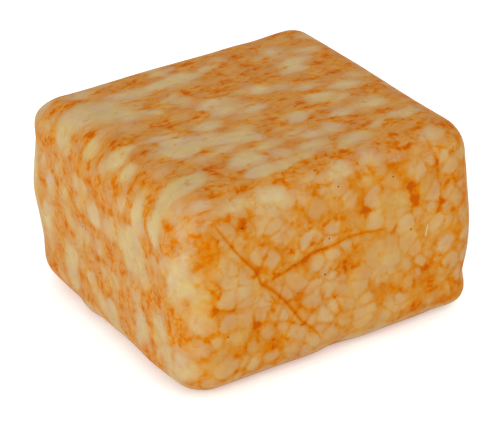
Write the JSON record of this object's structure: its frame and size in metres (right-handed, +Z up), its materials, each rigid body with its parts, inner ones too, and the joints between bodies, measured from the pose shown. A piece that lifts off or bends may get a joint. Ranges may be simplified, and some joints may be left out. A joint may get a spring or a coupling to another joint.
{
  "type": "block of marbled monterey jack cheese",
  "caption": "Rounded rectangular block of pale jack cheese marbled with orange, one solid piece with hairline cracks in its front face.",
  "frame": {"origin": "middle of the flat underside, on the surface the block stands on", "axes": "+X along the block's longest side, -Y out of the cracked front face, +Z up out of the top face"},
  "size_m": [0.084, 0.0788, 0.0512],
  "materials": {
    "marbled_jack_cheese": null
  },
  "bodies": {
    "root": {"cheese_block": "marbled_jack_cheese"}
  },
  "joints": []
}
